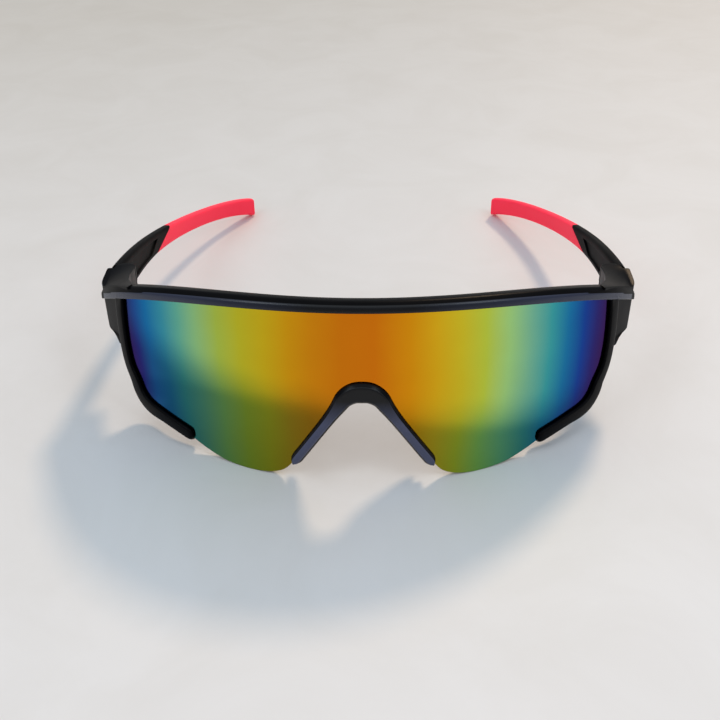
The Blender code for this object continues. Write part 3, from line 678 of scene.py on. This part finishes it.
half_path = [Vector(p) * MM for p in NOSE_POINTS]
nose_run = [(p.x, p.y) for p in smooth([Vector((-p.x, p.y)) for p in reversed(half_path[1:])] + half_path, 150)]
bridge = follow_lens("nose_clip", nose_run, nose_section)
combine(bridge, "DIFFERENCE", lens_sheet("nose_groove", FIT_GAP, FIT_GAP, LENS_THICKNESS + 2 * FIT_GAP, 90, 4))
place(bridge, "front", "bridge_black", bridge_nylon, "nose_bridge")

# %% [markdown]
# The flat front of the two legs carries a painted highlight: a second finish on the front facet, its colour
# mixed by height from a blue-grey slate low on the legs to black over the nose.

# %% Painted highlight on the front of the legs
bridge.data.materials.append(leg_painted_highlight)
for face in bridge.data.polygons:
    spot = to_wearer @ face.center
    if lens_face(spot.x, spot.z).y - spot.y > 1.25 * MM:
        # These faces get the painted blue-grey highlight.
        face.material_index = 1
print("bridge front faces:", sum(face.material_index for face in bridge.data.polygons))

# %% Nose pads
pad_rubber, pad_tree, pad_shader = finish("pad_rubber", (0.011, 0.011, 0.012), 0.6, specular=0.3)
grain(pad_tree, pad_shader, 0.3 * MM, 0.4, (0.5, 0.68))


def nose_pad(name, side):
    start = LENS_THICKNESS + 2.6 * MM + FIT_GAP
    half = 1.1 * MM
    path = [p * MM for p in smooth([(5.6, 23.4), (9.1, 18.1), (12.1, 13.6), (15.0, 9.2), (16.6, 6.8)], 60)]

    def section(share):
        depth = 6.5 * MM * (0.55 + 0.45 * sqrt(max(0.0, 1 - (2 * share - 1) ** 2)))
        flare = 2.6 * MM * depth / (6.5 * MM)
        closing = min(1.0, min(share, 1 - share) / 0.05)
        thin = between(0.45, 1.0, sqrt(1 - (1 - closing) ** 2))
        outline = [(-half, start), (half, start), (half + flare * 0.45, start + depth * 0.6),
                   (half + flare - 0.2 * MM, start + depth - 0.5 * MM), (flare, start + depth),
                   (flare - half, start + depth - 0.5 * MM), (-half + flare * 0.3, start + depth * 0.55)]
        return [((flare * 0.4 + (a - flare * 0.4) * thin) * -side, b) for a, b in soften(outline, 0.6 * MM)]

    return follow_lens(name, [(side * p.x, p.y) for p in path], section)


for word, side in (("left", -1), ("right", 1)):
    pad = nose_pad(f"soft_pad_{word}", side)
    place(pad, "front", "pad_rubber", pad_rubber, f"nose_pad_{word}")

# %% [markdown]
# ## The temples
#
# A temple is one blade that starts tall at the hinge, narrows to a waist and widens again at the tip. Its
# outer top edge is a single curve through the air, bent in behind the ear. The blade is lofted through
# rounded oblong rings along that curve. The black arm carries a knuckle for the hinge and a shallow sunk
# panel inside, left bare here. The red tip is a rubber sleeve that starts at a slanted line.

# %% Temple curve
TEMPLE_CURVE = [(-1.0, 0.0, 0.0), (0.1, 35.0, -1.5), (1.4, 69.5, -11.0), (-11.6, 97.0, -9.8), (-23.2, 112.4, -14.5)]
THICK = 3.2 * MM
TIP_START, TIP_SLANT = 0.337, 0.135


def temple_height(s):
    return (10.6 * (1 - s) ** 2 + 2 * 3.3 * s * (1 - s) + 7.0 * s * s) * MM


def temple_point(side, s, inward, down):
    """A point of a temple, inward from its outer face and down from its top edge."""
    step = [Vector(p) * MM + Vector((END_WIDTH, HINGE_Y + TEMPLE_GAP, TOP)) for p in TEMPLE_CURVE]
    while len(step) > 2:
        step = [a.lerp(b, s) for a, b in zip(step, step[1:])]
    along = step[1] - step[0]
    point = step[0].lerp(step[1], s) + Vector((-along.y, along.x, 0.0)).normalized() * inward
    return Vector((side * point.x, point.y, point.z - down))


def temple_ring(side, s, slant, shrink=0.0):
    height = temple_height(s)
    low, wide, tall = shrink, THICK - shrink, height - shrink
    outline = soften([(low, low), (wide, low), (wide, tall), (low, tall)], 1.15 * MM, 5)
    return [temple_point(side, s + slant * (0.5 - down / height), inward, down) for inward, down in outline]


def temple_run(name, side, places):
    """A stretch of temple through (place on the curve, slant, shrink)."""
    return loft(name, [temple_ring(side, *p) for p in places])


print("temple heights, mm:", [round(temple_height(s) / MM, 1) for s in (0, 0.35, 0.7, 1)])


# %% Arms
def temple_arm(name, side):
    steps = 60
    places = [(TIP_START * k / steps, TIP_SLANT * k / steps, 0.0) for k in range(steps + 1)]
    places[0] = (0.0, 0.0, 0.12 * MM)
    places.insert(1, (0.0012, 0.0, 0.0))
    places[-1] = (TIP_START - 0.0012, TIP_SLANT, 0.0)
    places.append((TIP_START, TIP_SLANT, 0.15 * MM))
    arm = temple_run(name, side, places)
    axis = (side * HINGE_X, HINGE_Y)
    rooms = [turned(f"room_{k}", axis, [(EAR_RADIUS + 0.3 * MM, low), (EAR_RADIUS + 0.3 * MM, high)])
             for k, (low, high) in enumerate(((KNUCKLE_HIGH, TOP + 2 * MM), (BOTTOM, KNUCKLE_LOW)))]
    rings = []
    for k in range(25):
        s = between(0.08, TIP_START - 0.075, k / 24)
        height = temple_height(s)
        low, high = THICK - 0.5 * MM, THICK + 1.0 * MM
        rings.append([temple_point(side, s + TIP_SLANT * 0.8 * (0.5 - down / height) * k / 24, inward, down)
                      for inward, down in ((low, 1.9 * MM), (high, 1.2 * MM), (high, height - 1.2 * MM),
                                           (low, height - 1.9 * MM))])
    combine(arm, "DIFFERENCE", *rooms, loft("panel", rings))
    outer_x = side * (HINGE_X + KNUCKLE_RADIUS * 0.8)
    neck = bar_block("neck", (min(axis[0], outer_x), HINGE_Y, KNUCKLE_LOW),
                     (max(axis[0], outer_x), HINGE_Y + 3.5 * MM, KNUCKLE_HIGH))
    knuckle = turned("knuckle", axis, [(KNUCKLE_RADIUS - 0.15 * MM, KNUCKLE_LOW),
                                       (KNUCKLE_RADIUS, KNUCKLE_LOW + 0.15 * MM),
                                       (KNUCKLE_RADIUS, KNUCKLE_HIGH - 0.15 * MM),
                                       (KNUCKLE_RADIUS - 0.15 * MM, KNUCKLE_HIGH)])
    combine(arm, "UNION", knuckle, neck)
    combine(arm, "DIFFERENCE", turned("bore", axis, [(0.85 * MM, BOTTOM), (0.85 * MM, TOP)], 24))
    return arm


for word, side in (("left", -1), ("right", 1)):
    place(temple_arm(f"arm_{word}", side), f"temple_{word}", "frame_black", arm_nylon, f"temple_arm_{word}")

# %% [markdown]
# ## Red rubber
#
# The tips are thermoplastic rubber in a coral red, dyed right through. Light sinks in a little way, so the
# shaded flank glows and the shadow beside it looks pink. A plain red paint would go brown in the shade, so
# the shader lets some light scatter under the skin, and a little painted glow, a red emission, lifts the shaded flank.

# %% Tips
tip_rubber, tip_tree, tip_shader = finish("tip_rubber", (0.9, 0.05, 0.085), 0.5, specular=0.12)
# Painted glow: a weak red emission that brightens the tips' shaded flanks.
tip_shader.inputs["Emission Color"].default_value = (1.0, 0.012, 0.05, 1.0)
tip_shader.inputs["Emission Strength"].default_value = 0.26
tip_shader.inputs["Subsurface Weight"].default_value = 0.3
tip_shader.inputs["Subsurface Radius"].default_value = (1.0, 0.25, 0.2)
tip_shader.inputs["Subsurface Scale"].default_value = 1.6 * MM
tip_fine, tip_wide = grain(tip_tree, tip_shader, 0.3 * MM, 0.25, (0.42, 0.58))
tip_tone = node(tip_tree, "Mix", data_type="RGBA")
tip_tone.inputs[6].default_value = (0.84, 0.036, 0.07, 1.0)
tip_tone.inputs[7].default_value = (0.94, 0.052, 0.095, 1.0)
tip_tree.links.new(tip_wide.outputs[0], tip_tone.inputs[0])
tip_tree.links.new(tip_tone.outputs[2], tip_shader.inputs["Base Color"])

for word, side in (("left", -1), ("right", 1)):
    first, last, steps = TIP_START + 0.0026, 1.0, 90
    places = [(first, TIP_SLANT, 0.15 * MM), (first + 0.0012, TIP_SLANT, 0.0)]
    places += [(between(first, last, k / steps), between(TIP_SLANT, 0.0, k / steps), 0.0)
               for k in range(1, steps - 1)]
    places += [(last - 0.004, 0.0, 0.03 * MM), (last - 0.0015, 0.0, 0.15 * MM), (last, 0.0, 0.5 * MM)]
    tip = temple_run(f"tip_{word}", side, places)
    place(tip, f"temple_{word}", "tip_red", tip_rubber, f"temple_tip_{word}")

# %% [markdown]
# ## Hinge hardware
#
# A slotted screw comes up through each hinge into a brass bush. Their measured shapes are already right,
# so they stay as they are and only get metal: turned steel with a fine grain, and brass.

# %% Screws and bushes
def turned_metal(name, colour, rough):
    made, tree, shader = finish(name, colour, rough[0], metallic=1.0)
    grain(tree, shader, 0.12 * MM, 0.3, rough)
    return made


steel = turned_metal("turned_steel", (0.55, 0.55, 0.57), (0.22, 0.36))
brass = turned_metal("turned_brass", (0.68, 0.47, 0.2), (0.28, 0.42))
for word in ("left", "right"):
    for part, metal in (("hinge_screw", steel), ("hinge_insert", brass)):
        mesh = frame["nodes"][f"{part}_{word}"].data
        mesh.materials.clear()
        mesh.materials.append(metal)
print("hardware finished:", steel.name, brass.name)

# %% [markdown]
# ## Table top
#
# The pair lies on a pale stone-like top. It only has to be plain: a wide flat plane, a touch warmer and
# darker towards the back left, with faint mottling so it doesn't look drawn.

# %% Floor
bpy.ops.mesh.primitive_plane_add(size=6.0)
floor = bpy.context.object
floor.name = "table_top"
top_finish, top_tree, top_shader = finish("pale_top", (0.72, 0.71, 0.69), 0.55, specular=0.25)
where = node(top_tree, "TexCoord")
split = node(top_tree, "SeparateXYZ")
top_tree.links.new(where.outputs["Object"], split.inputs["Vector"])
slope = node(top_tree, "MapRange", from_min=-0.35, from_max=0.55, to_min=0.0, to_max=1.0)
lean_sum = node(top_tree, "Math", operation="MULTIPLY_ADD")
lean_sum.inputs[1].default_value = -0.6
top_tree.links.new(split.outputs["X"], lean_sum.inputs[0])
top_tree.links.new(split.outputs["Y"], lean_sum.inputs[2])
top_tree.links.new(lean_sum.outputs[0], slope.inputs["Value"])
tone = node(top_tree, "Mix", data_type="RGBA")
tone.inputs[6].default_value = (0.745, 0.745, 0.75, 1.0)
tone.inputs[7].default_value = (0.6, 0.585, 0.54, 1.0)
top_tree.links.new(slope.outputs["Result"], tone.inputs[0])
mottle = node(top_tree, "TexNoise", scale=22.0, detail=5.0, roughness=0.62, distortion=0.8)
top_tree.links.new(where.outputs["Object"], mottle.inputs["Vector"])
shade = node(top_tree, "Mix", data_type="RGBA", blend_type="MULTIPLY")
shade.inputs[0].default_value = 1.0
speck = node(top_tree, "ValToRGB")
speck.color_ramp.elements[0].position, speck.color_ramp.elements[0].color = 0.3, (0.955, 0.95, 0.94, 1)
speck.color_ramp.elements[1].position, speck.color_ramp.elements[1].color = 0.62, (1, 1, 1, 1)
top_tree.links.new(mottle.outputs[0], speck.inputs["Fac"])
top_tree.links.new(tone.outputs[2], shade.inputs[6])
top_tree.links.new(speck.outputs["Color"], shade.inputs[7])
top_tree.links.new(shade.outputs[2], top_shader.inputs["Base Color"])
floor.data.materials.append(top_finish)
print("table top", [round(v, 1) for v in floor.dimensions])

# %% [markdown]
# ## Light
#
# The light is soft daylight from above, cool and brighter overhead than near the walls, with one broad
# warm lamp behind on the right. The lamp is a sun about eight degrees wide, so shadows fall to the front
# left with a soft edge. Two cool windows stand at the front left and right: the bevels at both ends of the
# bar mirror them, while its middle stays dark. The world is a ramp of brightness over height.

# %% Lamp and world
sun = bpy.data.objects.new("window_light", bpy.data.lights.new("window_light", "SUN"))
bpy.context.scene.collection.objects.link(sun)
sun.data.energy = 1.5
sun.data.angle = radians(8.5)
sun.data.color = (1.0, 0.74, 0.5)
sun.rotation_euler = Vector((0.4, 1.0, 1.0)).to_track_quat("Z", "Y").to_euler()

for word, across in (("left", -1), ("right", 1)):
    lamp = bpy.data.objects.new(f"side_window_{word}", bpy.data.lights.new(f"side_window_{word}", "AREA"))
    bpy.context.scene.collection.objects.link(lamp)
    lamp.data.shape = "RECTANGLE"
    lamp.data.size, lamp.data.size_y = 0.25, 0.36
    lamp.data.energy = 0.95
    lamp.data.color = (0.84, 0.93, 1.0)
    lamp.location = Vector((across * 0.579, -0.406, 0.707)) * 0.9
    lamp.rotation_euler = lamp.location.to_track_quat("Z", "Y").to_euler()
    lamp.visible_camera = False

world = bpy.data.worlds.new("soft_room")
bpy.context.scene.world = world
world.use_nodes = True
sky = world.node_tree
where = node(sky, "TexCoord")
split = node(sky, "SeparateXYZ")
sky.links.new(where.outputs["Generated"], split.inputs["Vector"])
ramp = node(sky, "ValToRGB")
for k, (at, colour) in enumerate(((0.0, (0.36, 0.36, 0.37)), (1.0, (1.0, 1.1, 1.22)), (0.3, (0.34, 0.37, 0.42)),
                                  (0.55, (0.55, 0.62, 0.72)), (0.75, (0.95, 1.05, 1.18)))):
    stop = ramp.color_ramp.elements[k] if k < 2 else ramp.color_ramp.elements.new(at)
    stop.position = at
    stop.color = (*colour, 1.0)
sky.links.new(split.outputs["Z"], ramp.inputs["Fac"])
background = sky.nodes["Background"]
sky.links.new(ramp.outputs["Color"], background.inputs["Color"])
background.inputs["Strength"].default_value = 0.8
pale = node(sky, "Background")
pale.inputs["Color"].default_value = (0.66, 0.65, 0.64, 1.0)
seen = node(sky, "LightPath")
choose = node(sky, "MixShader")
sky.links.new(seen.outputs["Is Camera Ray"], choose.inputs[0])
sky.links.new(background.outputs[0], choose.inputs[1])
sky.links.new(pale.outputs[0], choose.inputs[2])
sky.links.new(choose.outputs[0], sky.nodes["World Output"].inputs["Surface"])
print("lamp", sun.data.energy, "world", world.name)

# %% [markdown]
# ## Last cell
#
# The last cell only imports the json module.

# %% Import json
import json
